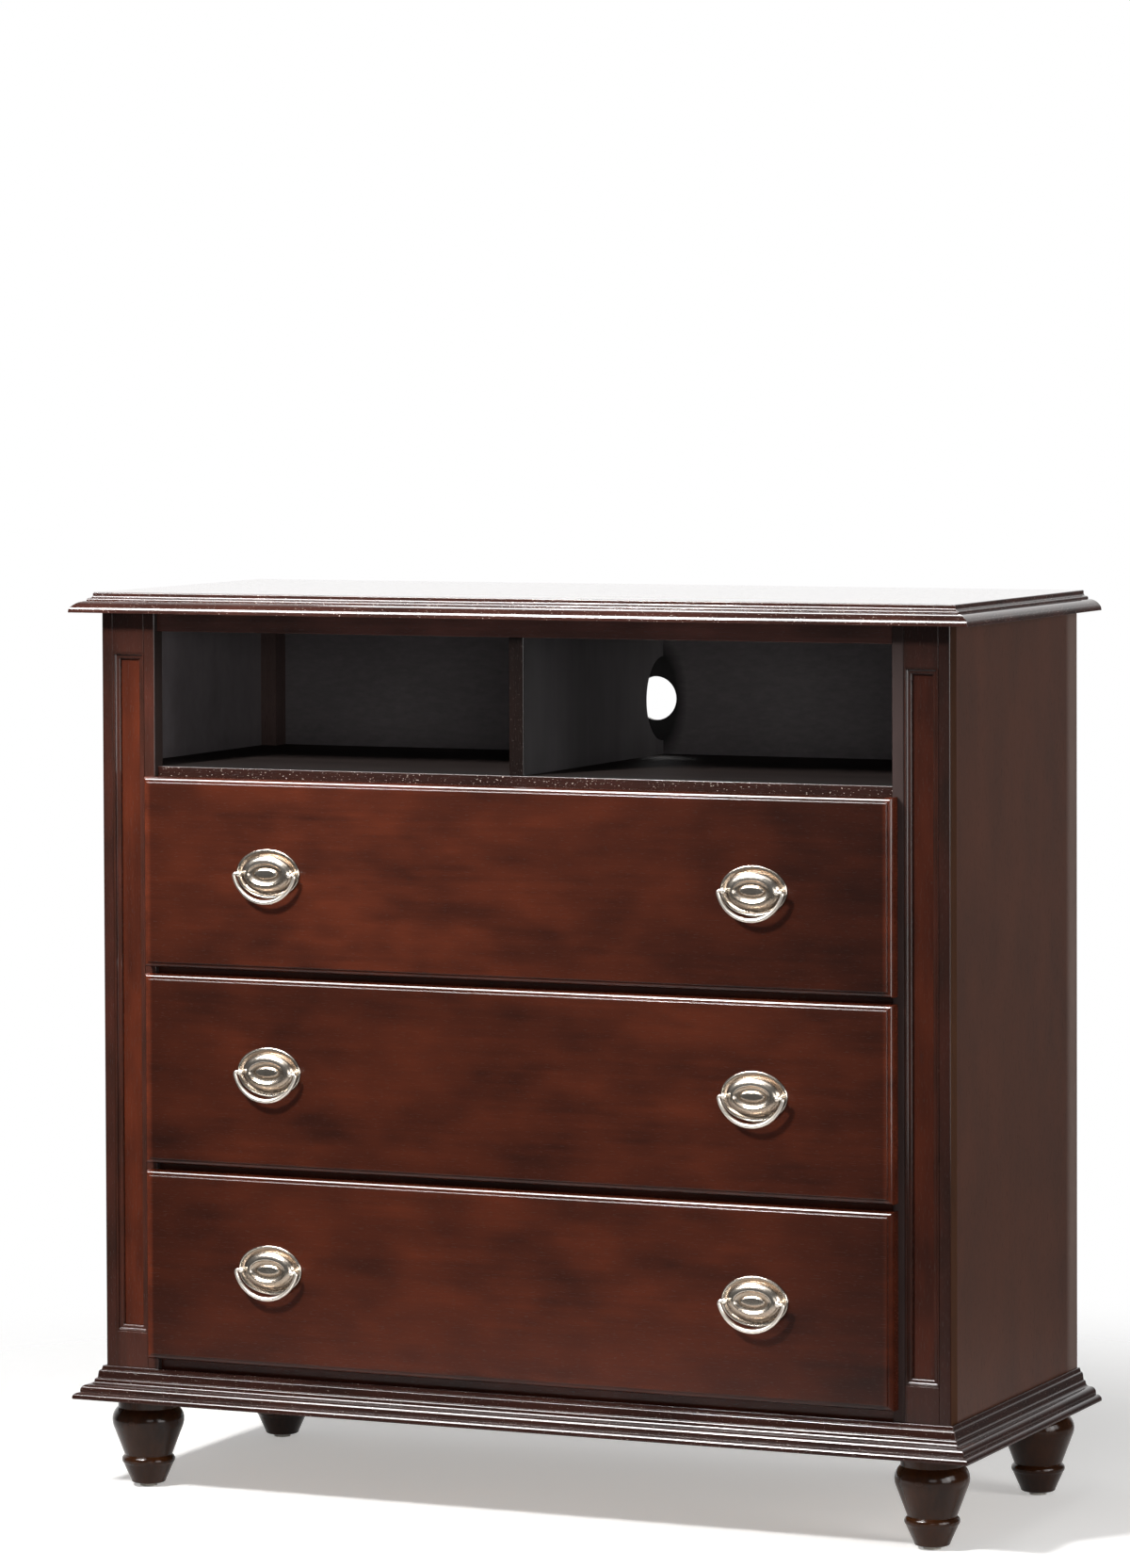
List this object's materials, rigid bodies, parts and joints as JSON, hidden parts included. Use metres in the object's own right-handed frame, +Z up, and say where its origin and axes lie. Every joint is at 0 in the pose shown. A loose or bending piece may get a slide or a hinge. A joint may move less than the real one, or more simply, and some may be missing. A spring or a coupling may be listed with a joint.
{
  "type": "media chest",
  "caption": "Low media chest on turned feet with open cubbies under a moulded top, full-width drawers with bail pulls below, panelled pilasters and a mitred base moulding.",
  "frame": {"origin": "on the floor, in the middle of the outer box", "axes": "+X to the viewer's right, -Y towards the viewer (drawers open that way), +Z up"},
  "size_m": [1.108, 0.4609, 1.046],
  "materials": {
    "dark_cherry": "dark cherry stain under satin lacquer",
    "stained_hardboard": "dark stained hardboard",
    "frame_wood": "unfinished secondary wood",
    "box_wood": "clear sealed drawer wood",
    "box_plywood": "clear sealed plywood",
    "satin_nickel": "satin nickel plate",
    "zinc_steel": "zinc plated steel",
    "nylon": "natural nylon"
  },
  "bodies": {
    "case": {"top_panel": "dark_cherry", "side_panel_left": "dark_cherry", "side_panel_right": "dark_cherry", "pilaster_left": "dark_cherry", "pilaster_right": "dark_cherry", "pilaster_panels": "dark_cherry", "pilaster_mouldings": "dark_cherry", "top_rail": "dark_cherry", "media_shelf": "dark_cherry", "shelf_divider": "dark_cherry", "drawer_rails": "dark_cherry", "bottom_rail": "dark_cherry", "base_moulding_front": "dark_cherry", "base_moulding_left": "dark_cherry", "base_moulding_right": "dark_cherry", "foot_front_left": "dark_cherry", "foot_front_right": "dark_cherry", "foot_rear_left": "dark_cherry", "foot_rear_right": "dark_cherry", "back_panel": "stained_hardboard", "bottom_panel": "frame_wood", "rear_posts": "dark_cherry", "rear_rails": "frame_wood", "foot_bolts": "zinc_steel", "foot_glides": "nylon", "glide_tracks": "zinc_steel", "tack_glides": "nylon"},
    "drawer_top": {"drawer_top_front": "dark_cherry", "drawer_top_box_front": "box_wood", "drawer_top_sides": "box_wood", "drawer_top_back": "box_wood", "drawer_top_bottom": "box_plywood", "drawer_top_guide": "nylon", "drawer_top_pull_plates": "satin_nickel", "drawer_top_pull_posts": "satin_nickel", "drawer_top_pull_screws": "zinc_steel"},
    "drawer_top_bail_left": {"drawer_top_bail_left": "satin_nickel"},
    "drawer_top_bail_right": {"drawer_top_bail_right": "satin_nickel"},
    "drawer_middle": {"drawer_middle_front": "dark_cherry", "drawer_middle_box_front": "box_wood", "drawer_middle_sides": "box_wood", "drawer_middle_back": "box_wood", "drawer_middle_bottom": "box_plywood", "drawer_middle_guide": "nylon", "drawer_middle_pull_plates": "satin_nickel", "drawer_middle_pull_posts": "satin_nickel", "drawer_middle_pull_screws": "zinc_steel"},
    "drawer_middle_bail_left": {"drawer_middle_bail_left": "satin_nickel"},
    "drawer_middle_bail_right": {"drawer_middle_bail_right": "satin_nickel"},
    "drawer_bottom": {"drawer_bottom_front": "dark_cherry", "drawer_bottom_box_front": "box_wood", "drawer_bottom_sides": "box_wood", "drawer_bottom_back": "box_wood", "drawer_bottom_bottom": "box_plywood", "drawer_bottom_guide": "nylon", "drawer_bottom_pull_plates": "satin_nickel", "drawer_bottom_pull_posts": "satin_nickel", "drawer_bottom_pull_screws": "zinc_steel"},
    "drawer_bottom_bail_left": {"drawer_bottom_bail_left": "satin_nickel"},
    "drawer_bottom_bail_right": {"drawer_bottom_bail_right": "satin_nickel"}
  },
  "joints": [
    {"name": "drawer_top_slide", "type": "slide", "parent": "case", "child": "drawer_top", "axis": [0, -1, 0], "range_m": [0, 0.29]},
    {"name": "drawer_top_bail_left_swing", "type": "hinge", "parent": "drawer_top", "child": "drawer_top_bail_left", "pos_m": [-0.3, -0.22705, 0.727], "axis": [-1, 0, 0], "range_deg": [-12, 100]},
    {"name": "drawer_top_bail_right_swing", "type": "hinge", "parent": "drawer_top", "child": "drawer_top_bail_right", "pos_m": [0.3, -0.22705, 0.727], "axis": [-1, 0, 0], "range_deg": [-12, 100]},
    {"name": "drawer_middle_slide", "type": "slide", "parent": "case", "child": "drawer_middle", "axis": [0, -1, 0], "range_m": [0, 0.29]},
    {"name": "drawer_middle_bail_left_swing", "type": "hinge", "parent": "drawer_middle", "child": "drawer_middle_bail_left", "pos_m": [-0.3, -0.22705, 0.499], "axis": [-1, 0, 0], "range_deg": [-12, 100]},
    {"name": "drawer_middle_bail_right_swing", "type": "hinge", "parent": "drawer_middle", "child": "drawer_middle_bail_right", "pos_m": [0.3, -0.22705, 0.499], "axis": [-1, 0, 0], "range_deg": [-12, 100]},
    {"name": "drawer_bottom_slide", "type": "slide", "parent": "case", "child": "drawer_bottom", "axis": [0, -1, 0], "range_m": [0, 0.29]},
    {"name": "drawer_bottom_bail_left_swing", "type": "hinge", "parent": "drawer_bottom", "child": "drawer_bottom_bail_left", "pos_m": [-0.3, -0.22705, 0.271], "axis": [-1, 0, 0], "range_deg": [-12, 100]},
    {"name": "drawer_bottom_bail_right_swing", "type": "hinge", "parent": "drawer_bottom", "child": "drawer_bottom_bail_right", "pos_m": [0.3, -0.22705, 0.271], "axis": [-1, 0, 0], "range_deg": [-12, 100]}
  ]
}
